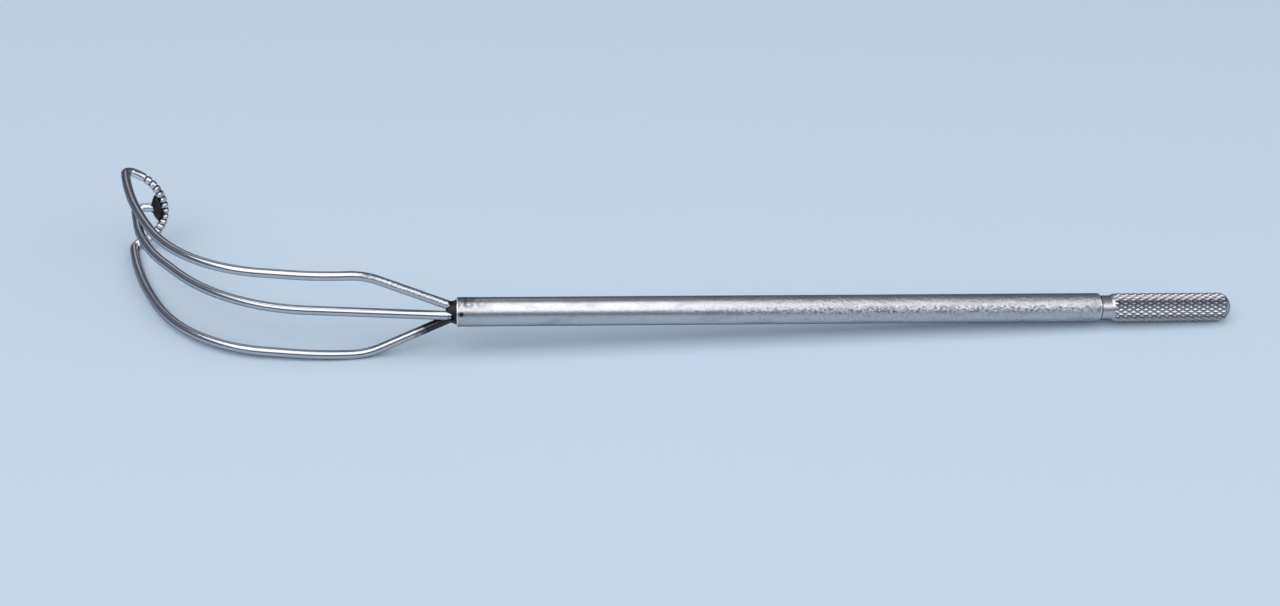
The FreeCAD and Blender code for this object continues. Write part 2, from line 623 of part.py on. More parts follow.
def cut_out(name, base, tool):
    """Takes a tool's space out of a piece."""
    piece = doc.addObject("Part::Cut", name)
    piece.Label = name
    piece.Base = base
    piece.Tool = tool
    doc.recompute()
    return piece


# Rest

def rest_rotation():
    """Turns the retractor so that it lies on one side wire's knee, that wire's corner at the lip
    and the rear edge of the grip, with the handle's direction along +X."""
    knee = Vector(value("layout.rise_start_x"), value("dims.half_width"), value("layout.rise_start_z"))
    corner = Vector(value("layout.leg_end_x"), value("dims.half_width"), value("layout.leg_end_z"))
    butt = Vector(value("layout.grip_end"), 0, 0)
    contact_line = corner - knee
    across = Vector(contact_line.z, 0, -contact_line.x).normalize()
    flat, slanted = -knee.y, across.dot(knee - butt)
    step_down = value("dims.wire_dia / 2 - dims.grip_dia / 2")
    lean = math.atan2(slanted, flat) + math.acos(step_down / math.hypot(flat, slanted))
    up = Vector(0, -math.cos(lean), 0) + across * math.sin(lean)
    along = (Vector(1, 0, 0) - up * up.x).normalize()
    aside = up.cross(along)
    rows = (along.x, along.y, along.z, 0), (aside.x, aside.y, aside.z, 0), (up.x, up.y, up.z, 0)
    return FreeCAD.Placement(FreeCAD.Matrix(*rows[0], *rows[1], *rows[2], 0, 0, 0, 1))


def lay_down(bodies, cutters):
    """Turns the bodies and the cutters that go with them to their rest, with the middle of the
    bodies' box's foot at the origin."""
    rest = rest_rotation()
    for body in bodies:
        body.Placement = rest
    doc.recompute()
    box = Part.makeCompound([body.Shape for body in bodies]).optimalBoundingBox(False)
    foot = Vector(box.Center.x, box.Center.y, box.ZMin)
    for item in bodies + cutters:
        item.Placement = FreeCAD.Placement(-foot, FreeCAD.Rotation()) * rest
    doc.recompute()


def check_and_write(parts):
    """Stops at any failed feature or unsound solid, then writes one STEP file for each piece."""
    for item in doc.Objects:
        if "Invalid" in item.State or "Error" in item.State:
            raise RuntimeError("failed feature: " + item.Name)
    os.makedirs("parts", exist_ok=True)
    for part in parts:
        shape = part.Shape
        if shape.isNull() or not shape.isValid() or not shape.Solids:
            raise RuntimeError("unsound solid: " + part.Label)
        shape.exportStep("parts/%s.step" % part.Label)
        print(part.Label, "volume %.1f mm3" % shape.Volume, "solids", len(shape.Solids))


handle_tube = make_handle_tube()
grip_blank = make_grip_blank()
knurl_cutter = make_knurl_cutter()
outer_loop_wire = make_outer_loop_wire()
centre_wire = make_centre_wire()
tip_braze = make_tip_braze()
mouth_bead = make_mouth_bead()
lay_down([handle_tube, grip_blank, outer_loop_wire, centre_wire, tip_braze, mouth_bead], [knurl_cutter])
knurled_grip = cut_out("knurled_grip", grip_blank, knurl_cutter)
mouth_braze = cut_out("mouth_braze", mouth_bead, fuse("wires_in_mouth", [outer_loop_wire, centre_wire]))
check_and_write([handle_tube, knurled_grip, outer_loop_wire, centre_wire, tip_braze, mouth_braze])
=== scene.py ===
"""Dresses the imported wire-frame retractor and lays it on a pale table under soft studio light.

Every size is in metres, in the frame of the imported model. The pieces are made in a working frame
of their own, with its origin at the centre of the tube's mouth, +X along the handle, +Z the way
the blade hooks, and are put in their place at the end.
"""

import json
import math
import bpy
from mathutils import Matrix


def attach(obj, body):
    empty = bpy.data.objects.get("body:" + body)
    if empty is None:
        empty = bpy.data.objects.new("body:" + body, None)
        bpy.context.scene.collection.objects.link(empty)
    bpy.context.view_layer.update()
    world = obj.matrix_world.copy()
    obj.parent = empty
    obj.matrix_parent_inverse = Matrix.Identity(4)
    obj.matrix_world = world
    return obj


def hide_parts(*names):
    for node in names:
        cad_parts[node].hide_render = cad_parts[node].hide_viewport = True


bl_info = {
    "name": "Wire Retractor Studio",
    "version": (1, 0, 0),
    "blender": (4, 5, 0),
    "location": "View3D > Sidebar > Retractor",
    "description": "Builds a wire-frame surgical retractor with its finishes and a studio round it",
    "category": "Object",
}

import bmesh
import bpy
from mathutils import Matrix, Vector

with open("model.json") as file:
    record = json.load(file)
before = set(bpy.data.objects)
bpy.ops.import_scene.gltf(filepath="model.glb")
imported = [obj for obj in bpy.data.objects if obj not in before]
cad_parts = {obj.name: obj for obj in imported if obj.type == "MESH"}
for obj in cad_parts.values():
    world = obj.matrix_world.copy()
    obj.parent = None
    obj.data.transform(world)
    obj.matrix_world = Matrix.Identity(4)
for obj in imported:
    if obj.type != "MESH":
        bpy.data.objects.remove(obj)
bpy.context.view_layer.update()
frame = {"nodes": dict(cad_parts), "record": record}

MM = 0.001
BODY = "root"

# Scale for a distance that counts only across the handle
ACROSS = (0.0, 1.0, 1.0)

# Each filler's solid, its piece here and how fine it is remeshed
FILLERS = (("tip_braze", "tip_filler", 0.06 * MM), ("mouth_braze", "mouth_filler", 0.09 * MM))
FILLER_SWELL = 0.06 * MM


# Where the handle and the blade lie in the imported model

def handle_axis():
    """The shank mount's point and direction, the point being halfway along the tube."""
    shank = frame["record"]["mounts"][0]
    return Vector(shank["pos_m"]), Vector(shank["axis"]).normalized()


def tube_ends():
    """Where the tube starts and ends along the handle, measured from the mount."""
    middle, along = handle_axis()
    reach = [(vert.co - middle).dot(along) for vert in frame["nodes"]["handle_tube"].data.vertices]
    return min(reach), max(reach)


def working_frame():
    """Matrix from the working frame. The centre wire lies in the blade's middle plane, so its
    spread across the handle tells which way the blade hooks."""
    middle, along = handle_axis()
    level = Vector((0, 0, 1)).cross(along).normalized()
    steep = along.cross(level)
    spread = [0.0, 0.0, 0.0]
    for vert in frame["nodes"]["centre_wire"].data.vertices:
        arm = vert.co - middle
        across, up = arm.dot(level), arm.dot(steep)
        spread = [spread[0] + across * across, spread[1] + up * up, spread[2] + across * up]
    lean = math.atan2(2 * spread[2], spread[0] - spread[1]) / 2
    hook = level * math.cos(lean) + steep * math.sin(lean)
    mouth = middle + along * tube_ends()[0]
    return Matrix.Translation(mouth) @ Matrix((along, hook.cross(along), hook)).transposed().to_4x4()


TUBE_LENGTH = tube_ends()[1] - tube_ends()[0]
WORKING = working_frame()


# Settings

def length(name, millimetres, description):
    return bpy.props.FloatProperty(name=name, description=description, default=millimetres * MM,
                                   unit="LENGTH", subtype="DISTANCE", precision=5)


def angle(name, degrees, description):
    return bpy.props.FloatProperty(name=name, description=description, default=math.radians(degrees),
                                   unit="ROTATION", subtype="ANGLE")


def share(name, default, description):
    return bpy.props.FloatProperty(name=name, description=description, default=default,
                                   min=0, max=1, subtype="FACTOR")


def number(name, default, description):
    return bpy.props.FloatProperty(name=name, description=description, default=default)


def count(name, default, description):
    return bpy.props.IntProperty(name=name, description=description, default=default, min=1)


def colour(name, default, description):
    return bpy.props.FloatVectorProperty(name=name, description=description, default=default,
                                         min=0, max=1, size=3, subtype="COLOR")


class RetractorWires(bpy.types.PropertyGroup):
    """Sizes of the blade's wires, as a bender is set for them"""
    diameter: length("Wire diameter", 2.0, "Diameter of the round wire")
    sides: count("Sides", 32, "Faces round a wire")
    insertion: length("Insertion", 12.0, "Depth of the wires in the tube")
    pitch: length("Pitch in the tube", 2.2, "Between the two ends of the loop wire")
    lift: length("Lift", 0.143, "Loop wire above the handle's axis at the mouth")
    half_width: length("Half width", 10.0, "Centre plane to the centre of a side wire")
    dip: angle("Dip", 3.3, "Dip of the fanned part")
    mouth_bend_depth: length("Mouth bend depth", 0.7, "Depth in the tube where the fan starts")
    mouth_bend_radius: length("Mouth bend radius", 5.0, "Radius of the fan's first bend")
    fan: angle("Fan", 25.1, "Angle of each side wire to the handle")
    knee_radius: length("Knee radius", 15.0, "Radius where the fan ends")
    rise_radius: length("Rise radius", 60.0, "Slight bend past the knee")
    rise: angle("Rise", 8.1, "Slope after that bend")
    heel_lead: length("Heel lead", 6.3, "Straight run before the heel")
    heel_radius: length("Heel radius", 34.2, "Radius of the heel")
    heel: angle("Heel", 52.9, "Turn of the heel")
    leg_radius: length("Leg radius", 88.7, "Radius of the leg")
    leg: angle("Leg", 17.9, "Turn of the leg")
    corner_radius: length("Corner radius", 1.85, "Radius of the corners at the lip")
    lip_entry: angle("Lip entry", 24.4, "Heading of the lip where it leaves the corner")
    tooth_pitch: length("Tooth pitch", 1.45, "Spacing of the lip's notches")
    tooth_span: angle("Tooth span", 114.0, "Part of the lip's arc that is notched")
    notch_depth: length("Notch depth", 0.3, "Depth of a notch")
    notch_width: length("Notch width", 0.8, "Width of a notch at the surface")
    centre_drop: length("Centre drop", 1.575, "Centre wire below the handle's axis in the tube")
    centre_bend_depth: length("Centre bend depth", 1.0, "Depth in the tube of its first bend")
    centre_bend_radius: length("Centre bend radius", 20.0, "Radius of its first bend")
    centre_rise: angle("Centre rise", 4.7, "Slope of the centre wire past the mouth")
    centre_lead: length("Centre lead", 31.138, "Its straight run before the heel")
    centre_heel_radius: length("Centre heel radius", 42.6, "Radius of its heel")
    centre_heel: angle("Centre heel", 46.1, "Turn of its heel")
    centre_run: length("Centre run", 5.676, "Straight run either side of its leg's bend")
    centre_leg_radius: length("Centre leg radius", 40.0, "Radius of its leg's bend")
    centre_leg: angle("Centre leg", 27.0, "Turn of its leg's bend")
    stub: length("Stub", 3.2, "Straight end of the centre wire behind the lip")


class RetractorHandle(bpy.types.PropertyGroup):
    """Sizes of the tube and the knurled plug"""
    tube_diameter: length("Tube diameter", 6.35, "Outside diameter of the tube")
    tube_wall: length("Tube wall", 0.5, "Wall of the tube")
    mouth_chamfer: length("Mouth edge", 0.12, "Round on the rim of the mouth")
    rear_round: length("Rear round", 0.45, "Round on the tube's rear edge")
    sides: count("Sides", 96, "Faces round the tube and the plug's plain parts")
    spigot_length: length("Spigot length", 10.0, "Length of the plug inside the tube")
    spigot_clearance: length("Spigot clearance", 0.015, "Radial clearance of the plug in the tube")
    neck_length: length("Neck length", 2.4, "Bare neck between the tube and the grip")
    neck_taper: length("Neck taper", 1.2, "Cone from the neck up to the grip")
    grip_diameter: length("Grip diameter", 6.35, "Diameter over the knurl's points")
    grip_length: length("Grip length", 23.7, "Straight part of the grip")
    dome_height: length("Dome height", 2.4, "Height of the domed end")
    knurl_starts: count("Knurl starts", 18, "Knurl points round the grip")
    knurl_pitch: length("Knurl pitch", 1.86, "Spacing of the points along the grip")
    knurl_depth: length("Knurl depth", 0.32, "Depth of the grooves")
    knurl_drop: length("Knurl drop", 0.02, "How far the points lie below the plug's own surface")
    knurl_flat: length("Knurl flat", 0.12, "Worn flat on each point")


class RetractorFinish(bpy.types.PropertyGroup):
    """Colours and roughness of the metals"""
    tube_colour: colour("Tube", (0.54, 0.545, 0.575), "Satin steel of the tube")
    tube_roughness: share("Tube roughness", 0.31, "Roughness of the satin tube")
    wire_colour: colour("Wire", (0.52, 0.53, 0.56), "Polished steel of the wires")
    wire_roughness: share("Wire roughness", 0.15, "Roughness of the polished wires")
    edge_tint: colour("Edge tint", (0.22, 0.22, 0.25), "How much the metals reflect at a glancing angle")
    lip_colour: colour("Lip", (0.84, 0.84, 0.85), "Steel of the filed lip")
    grip_colour: colour("Grip", (0.52, 0.52, 0.54), "Steel of the knurled plug")
    grip_roughness: share("Grip roughness", 0.27, "Roughness of the knurled plug")
    braze_colour: colour("Braze", (0.022, 0.02, 0.024), "Dark oxidised filler")
    braze_roughness: share("Braze roughness", 0.42, "Roughness of the filler")


class RetractorStudio(bpy.types.PropertyGroup):
    """Camera, lamps and table"""
    camera_place: bpy.props.FloatVectorProperty(
        name="Camera place", description="Where the camera stands", size=3,
        default=(-0.03167, -0.35946, 0.25166), subtype="TRANSLATION", unit="LENGTH")
    camera_pitch: angle("Camera pitch", 35.48, "How far the camera looks down")
    camera_swing: angle("Camera swing", -4.10, "How far it is turned from +Y")
    camera_roll: angle("Camera roll", 0.10, "How far it is rolled")
    lens: number("Lens", 54.06, "Focal length in millimetres on a 36 mm wide frame")
    floor_colour: colour("Table", (0.56, 0.67, 0.78), "Colour of the table")
    floor_size: length("Table size", 12000.0, "Side of the table")
    room_colour: colour("Room", (0.13, 0.15, 0.19), "Colour of the room level with the table")
    ceiling_colour: colour("Ceiling", (0.23, 0.24, 0.27), "Colour of the room overhead")
    key_power: number("Key lamp", 17.0, "Watts of the wide lamp overhead")
    side_power: number("Side lamp", 9.5, "Watts of the lower lamp on the right")
    back_power: number("Back lamp", 0.5, "Watts of the faint lamp behind the blade")


# Mesh tools, all in edit mode

def fresh_start():
    """Leaves edit mode and selects nothing, so that an operator acts on new geometry alone."""
    if bpy.context.object and bpy.context.object.mode == "EDIT":
        bpy.ops.object.mode_set(mode="OBJECT")
    bpy.ops.object.select_all(action="DESELECT")


def start_ring(name, centre, axis, radius, sides):
    """A ring of points across an axis, selected in edit mode."""
    fresh_start()
    turn = Vector((0, 0, 1)).rotation_difference(axis).to_euler()
    bpy.ops.mesh.primitive_circle_add(vertices=sides, radius=radius, fill_type="NOTHING",
                                      location=centre, rotation=turn)
    piece = bpy.context.object
    piece.name = piece.data.name = name
    bpy.ops.object.transform_apply(location=True, rotation=True, scale=True)
    bpy.ops.object.mode_set(mode="EDIT")
    bpy.ops.mesh.select_all(action="SELECT")
    return piece


def off_axis(place):
    """How far a place lies from the handle's axis."""
    return math.hypot(place.y, place.z)


def scale_ring(factor, centre):
    """Scales what is selected away from the handle's axis, or towards it."""
    bpy.ops.transform.resize(value=(1.0, factor, factor), center_override=centre)


def turn_profile(name, stations, sides):
    """Turns a round piece about the handle's axis. Each station is a place and a radius."""
    place, radius = stations[0]
    piece = start_ring(name, Vector((place, 0, 0)), Vector((1, 0, 0)), radius, sides)
    for next_place, next_radius in stations[1:]:
        bpy.ops.mesh.extrude_region_move(TRANSFORM_OT_translate={"value": (next_place - place, 0, 0)})
        scale_ring(next_radius / radius, (next_place, 0, 0))
        place, radius = next_place, next_radius
    return piece


def select(kind, wanted):
    """Selects the points, edges or faces that a test picks out."""
    bpy.ops.mesh.select_all(action="DESELECT")
    bpy.ops.mesh.select_mode(type=kind)
    mesh = bmesh.from_edit_mesh(bpy.context.object.data)
    for part in {"VERT": mesh.verts, "EDGE": mesh.edges, "FACE": mesh.faces}[kind]:
        part.select_set(wanted(part))
    bmesh.update_edit_mesh(bpy.context.object.data)


def round_rim(place, radius, size, segments):
    """Rounds the sharp rim that stands at a place along the handle."""
    near = size / 20
    select("EDGE", lambda edge: all(
        abs(end.co.x - place) < near and abs(off_axis(end.co) - radius) < near for end in edge.verts))
    bpy.ops.mesh.bevel(offset=size, segments=segments, affect="EDGES")
    bpy.ops.mesh.select_mode(type="VERT")


def close_ends():
    """Fills whatever is still open."""
    bpy.ops.mesh.select_all(action="DESELECT")
    bpy.ops.mesh.select_mode(type="EDGE")
    bpy.ops.mesh.select_non_manifold(extend=False)
    bpy.ops.mesh.edge_face_add()
    bpy.ops.mesh.select_mode(type="VERT")


def tidy_shell():
    """Merges doubles and turns every face outwards."""
    bpy.ops.mesh.select_all(action="SELECT")
    bpy.ops.mesh.remove_doubles(threshold=0.001 * MM)
    bpy.ops.mesh.select_all(action="SELECT")
    bpy.ops.mesh.normals_make_consistent(inside=False)
    bpy.ops.object.mode_set(mode="OBJECT")


def close_piece(piece):
    """Closes a piece's open ends and leaves it tidy."""
    close_ends()
    tidy_shell()
    return piece


def settle(piece, smooth_angle=40):
    """Puts a finished piece from the working frame into its place."""
    fresh_start()
    bpy.context.view_layer.objects.active = piece
    piece.select_set(True)
    piece.matrix_world = WORKING
    bpy.ops.object.transform_apply(location=True, rotation=True, scale=True)
    bpy.ops.object.shade_smooth_by_angle(angle=math.radians(smooth_angle))


def add_modifier(piece, kind, **values):
    """Adds a modifier and applies it."""
    fresh_start()
    bpy.context.view_layer.objects.active = piece
    piece.select_set(True)
    modifier = piece.modifiers.new(kind.lower(), kind)
    for key, setting in values.items():
        setattr(modifier, key, setting)
    bpy.ops.object.modifier_apply(modifier=modifier.name)


def keep_common(piece, mould):
    """Keeps what a piece has in common with a mould, and drops the mould."""
    add_modifier(piece, "BOOLEAN", operation="INTERSECT", solver="EXACT", object=mould)
    bpy.data.objects.remove(mould)
    bpy.ops.object.mode_set(mode="EDIT")
    tidy_shell()
    return piece


def declare(piece, node, material):
    """Gives a piece its material, hangs it on the body and hides the solid that it replaces."""
    piece.data.materials.clear()
    piece.data.materials.append(material)
    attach(piece, BODY)
    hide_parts(node)


class WireBender:
    """Bends a round wire from its open end, which is the selected ring of points. Each ring keeps
    how deep in a notch it lies, for the wire's finish."""

    STEP = 1.2 * MM
    STEP_ANGLE = math.radians(6)

    def __init__(self, name, start, heading, radius, sides):
        self.piece = start_ring(name, start, heading, radius, sides)
        self.tip, self.heading, self.radius = start.copy(), heading.normalized(), radius
        bmesh.from_edit_mesh(self.piece.data).verts.layers.float.new("notch")
        self.mark(0.0)

    def mark(self, depth):
        """Writes on the open ring how deep in a notch it lies."""
        mesh = bmesh.from_edit_mesh(self.piece.data)
        notch = mesh.verts.layers.float["notch"]
        for vert in mesh.verts:
            if vert.select:
                vert[notch] = depth

    def run(self, feed):
        """Feeds the wire straight on."""
        steps = max(1, round(feed / self.STEP))
        for _ in range(steps):
            bpy.ops.mesh.extrude_region_move(
                TRANSFORM_OT_translate={"value": self.heading * (feed / steps)})
            self.mark(0.0)
        self.tip += self.heading * feed

    def bend(self, radius, turn, axis, depth=0.0, steps=None):
        """Bends the wire to the left of its heading, as seen from the axis's tip."""
        steps = steps or max(1, math.ceil(max(radius * turn / self.STEP, turn / self.STEP_ANGLE)))
        centre = self.tip + axis.cross(self.heading) * radius
        for _ in range(steps):
            bpy.ops.mesh.spin(steps=1, angle=turn / steps, center=centre, axis=-axis)
            self.mark(depth)
        turned = Matrix.Rotation(turn, 3, axis)
        self.tip = centre + turned @ (self.tip - centre)
        self.heading = turned @ self.heading

    def squeeze(self, factor, depth):
        """Scales the open ring about the wire's centre."""
        bpy.ops.transform.resize(value=(factor, factor, factor), center_override=self.tip)
        self.mark(depth)


# Node tools

def new_node(tree, kind, **settings):
    """A shader node. A setting that names an input sets or links that input."""
    node = tree.nodes.new(kind)
    inputs = settings.pop("inputs", {})
    for key, setting in settings.items():
        setattr(node, key, setting)
    for key, setting in inputs.items():
        if isinstance(setting, bpy.types.NodeSocket):
            tree.links.new(setting, node.inputs[key])
        else:
            node.inputs[key].default_value = setting
    return node


def stretched_noise(tree, coordinates, scale, detail=4.0, roughness=0.55):
    """Noise on coordinates that are scaled differently each way, per metre."""
    mapping = new_node(tree, "ShaderNodeMapping", inputs={"Vector": coordinates, "Scale": scale})
    noise = new_node(tree, "ShaderNodeTexNoise",
                     inputs={"Vector": mapping.outputs[0], "Scale": 1.0, "Detail": detail,
                             "Roughness": roughness})
    return noise.outputs["Fac"]


def ramp(tree, factor, low, high, to_low=0.0, to_high=1.0):
    """Maps a value from one range onto another, clamped."""
    node = new_node(tree, "ShaderNodeMapRange",
                    inputs={"Value": factor, "From Min": low, "From Max": high,
                            "To Min": to_low, "To Max": to_high})
    return node.outputs[0]


def combine(tree, operation, first, second):
    return new_node(tree, "ShaderNodeMath", operation=operation, inputs={0: first, 1: second}).outputs[0]


def blend_colour(tree, factor, first, second):
    node = new_node(tree, "ShaderNodeMix", data_type="RGBA")
    for socket, setting in ((node.inputs[0], factor), (node.inputs[6], first), (node.inputs[7], second)):
        if isinstance(setting, bpy.types.NodeSocket):
            tree.links.new(setting, socket)
        else:
            socket.default_value = (*setting, 1) if len(setting) == 3 else setting
    return node.outputs[2]


def handle_coordinates(tree):
    """Coordinates along, across and up the handle, from its mouth."""
    source = new_node(tree, "ShaderNodeTexCoord")
    back = WORKING.inverted()
    mapping = new_node(tree, "ShaderNodeMapping",
                       inputs={"Vector": source.outputs["Object"], "Location": back.to_translation(),
                               "Rotation": back.to_euler()})
    return mapping.outputs[0]


def reach_along(tree, place):
    """How far along the handle a point lies."""
    return new_node(tree, "ShaderNodeSeparateXYZ", inputs={0: place}).outputs["X"]


def distance_from(tree, place, centre, scale=(1.0, 1.0, 1.0)):
    """How far a point lies from a centre in the working frame, given in millimetres, with each
    direction counted to its own scale."""
    offset = new_node(tree, "ShaderNodeVectorMath", operation="SUBTRACT",
                      inputs={0: place, 1: tuple(c * MM for c in centre)})
    scaled = new_node(tree, "ShaderNodeVectorMath", operation="MULTIPLY",
                      inputs={0: offset.outputs[0], 1: scale})
    return new_node(tree, "ShaderNodeVectorMath", operation="LENGTH",
                    inputs={0: scaled.outputs[0]}).outputs["Value"]


def new_group(name, sockets_in, sockets_out):
    group = bpy.data.node_groups.new(name, "ShaderNodeTree")
    for socket, kind, default in sockets_in:
        made = group.interface.new_socket(socket, in_out="INPUT", socket_type=kind)
        if default is not None:
            made.default_value = default
    for socket, kind in sockets_out:
        group.interface.new_socket(socket, in_out="OUTPUT", socket_type=kind)
    start = group.nodes.new("NodeGroupInput")
    end = group.nodes.new("NodeGroupOutput")
    return group, start, end


def steel_grain_group():
    """Brush marks and pits of used steel: a mask of pits, uneven roughness and a relief."""
    if "steel_grain" in bpy.data.node_groups:
        return bpy.data.node_groups["steel_grain"]
    group, start, end = new_group(
        "steel_grain",
        [("Vector", "NodeSocketVector", None), ("Brush", "NodeSocketVector", (1, 1, 1)),
         ("Pit Size", "NodeSocketFloat", 2500.0), ("Pits", "NodeSocketFloat", 0.5)],
        [("Brushing", "NodeSocketFloat"), ("Pits", "NodeSocketFloat"), ("Relief", "NodeSocketFloat")])
    scaled = new_node(group, "ShaderNodeVectorMath", operation="MULTIPLY",
                      inputs={0: start.outputs["Vector"], 1: start.outputs["Brush"]})
    brushing = new_node(group, "ShaderNodeTexNoise",
                        inputs={"Vector": scaled.outputs[0], "Scale": 1.0, "Detail": 5.0, "Roughness": 0.6})
    specks = new_node(group, "ShaderNodeTexNoise",
                      inputs={"Vector": start.outputs["Vector"], "Scale": start.outputs["Pit Size"],
                              "Detail": 2.0, "Roughness": 0.5})
    edge = combine(group, "SUBTRACT", 0.78, combine(group, "MULTIPLY", start.outputs["Pits"], 0.2))
    pits = new_node(group, "ShaderNodeMapRange",
                    inputs={"Value": specks.outputs["Fac"], "From Min": edge,
                            "From Max": combine(group, "ADD", edge, 0.06)})
    relief = combine(group, "SUBTRACT", brushing.outputs["Fac"], pits.outputs[0])
    group.links.new(brushing.outputs["Fac"], end.inputs["Brushing"])
    group.links.new(pits.outputs[0], end.inputs["Pits"])
    group.links.new(relief, end.inputs["Relief"])
    return group


def new_material(name):
    material = bpy.data.materials.new(name)
    material.use_nodes = True
    tree = material.node_tree
    tree.nodes.clear()
    out = tree.nodes.new("ShaderNodeOutputMaterial")
    shader = tree.nodes.new("ShaderNodeBsdfPrincipled")
    tree.links.new(shader.outputs[0], out.inputs[0])
    return material, tree, shader


def add_bump(tree, shader, height, depth, strength):
    bump = new_node(tree, "ShaderNodeBump",
                    inputs={"Height": height, "Distance": depth, "Strength": strength})
    tree.links.new(bump.outputs[0], shader.inputs["Normal"])


def satin_tube_material(finish):
    """Satin steel, brushed round the tube, smudged near the mouth and pitted towards the plug, with a
    speckled band of painted dark reflection on its pitted part and a painted glint on the rim at
    either end."""
    material, tree, shader = new_material("satin_tube")
    place = handle_coordinates(tree)
    reach = reach_along(tree, place)
    grain = new_node(tree, "ShaderNodeGroup", node_tree=steel_grain_group(),
                     inputs={"Vector": place, "Brush": (9000.0, 700.0, 700.0), "Pit Size": 2300.0,
                             "Pits": ramp(tree, reach, 45 * MM, 80 * MM, 0.6, 1.05)})
    cloud = stretched_noise(tree, place, (160.0, 500.0, 500.0))
    stain = ramp(tree, cloud, 0.52, 0.72, 0.0, 0.35)
    side = new_node(tree, "ShaderNodeSeparateXYZ", inputs={0: place}).outputs["Y"]
    smudge = combine(tree, "MULTIPLY", ramp(tree, reach, 2 * MM, 9 * MM, 1.0, 0.0),
                     ramp(tree, stretched_noise(tree, place, (700.0, 700.0, 700.0)), 0.4, 0.55))
    smudge = combine(tree, "MULTIPLY", smudge, ramp(tree, side, -2.7 * MM, -1.9 * MM, 1.0, 0.15))
    tint = blend_colour(tree, combine(tree, "MAXIMUM", stain, smudge), finish.tube_colour,
                        tuple(0.3 * c for c in finish.tube_colour))
    for point, size, shade in (((1.0, -1.2, -2.94), 0.75, (0.05, 0.035, 0.04)),
                               ((2.0, -1.75, -2.65), 0.4, (0.55, 0.40, 0.24))):
        spot = ramp(tree, distance_from(tree, place, point), 0.4 * size * MM, size * MM, 1.0, 0.0)
        tint = blend_colour(tree, spot, tint, shade)
    dark = combine(tree, "MULTIPLY", grain.outputs["Pits"], 0.3)
    tint = blend_colour(tree, dark, tint, (0.12, 0.11, 0.11))
    worn = ramp(tree, reach, 40 * MM, 80 * MM, 0.15, 1.0)
    # Painted reflection: a speckled dark band on the camera-facing side towards the plug stands in for the
    # dark room mirrored between the highlight and the table's reflection
    off_reflection_band = distance_from(tree, place, (0, -1.6, -2.74), ACROSS)
    reflection_band = ramp(tree, off_reflection_band, 0.5 * MM, 1.1 * MM, 0.75, 0.0)
    specks = ramp(tree, stretched_noise(tree, place, (1500.0, 1900.0, 1900.0), detail=3.0), 0.46, 0.58)
    painted_dark_reflection = combine(tree, "MULTIPLY", combine(tree, "MULTIPLY", reflection_band, worn), specks)
    tint = blend_colour(tree, painted_dark_reflection, tint, (0.13, 0.13, 0.19))
    # Painted highlight: the mouth's rim and the rear edge are lightened nearly to white as a glint
    rim = combine(tree, "MAXIMUM", ramp(tree, reach, 0.15 * MM, 0.3 * MM, 1.0, 0.0),
                  ramp(tree, reach, TUBE_LENGTH - 0.4 * MM, TUBE_LENGTH - 0.25 * MM))
    tree.links.new(blend_colour(tree, rim, tint, (0.9, 0.9, 0.9)), shader.inputs["Base Color"])
    shader.inputs["Metallic"].default_value = 1.0
    shader.inputs["Specular Tint"].default_value = (*finish.edge_tint, 1)
    rough = ramp(tree, grain.outputs["Brushing"], 0.3, 0.7, finish.tube_roughness - 0.06,
                 finish.tube_roughness + 0.08)
    bright_edge = ramp(tree, reach, TUBE_LENGTH - 0.45 * MM, TUBE_LENGTH - 0.3 * MM, 0.0, 0.18)
    tree.links.new(combine(tree, "SUBTRACT", rough, bright_edge), shader.inputs["Roughness"])
    mottle = stretched_noise(tree, place, (2800.0, 1800.0, 1800.0), detail=3.0)
    relief = combine(tree, "ADD", grain.outputs["Relief"],
                     combine(tree, "MULTIPLY", combine(tree, "MULTIPLY", mottle, worn), 18.0))
    add_bump(tree, shader, relief, 0.02 * MM, 0.6)
    return material


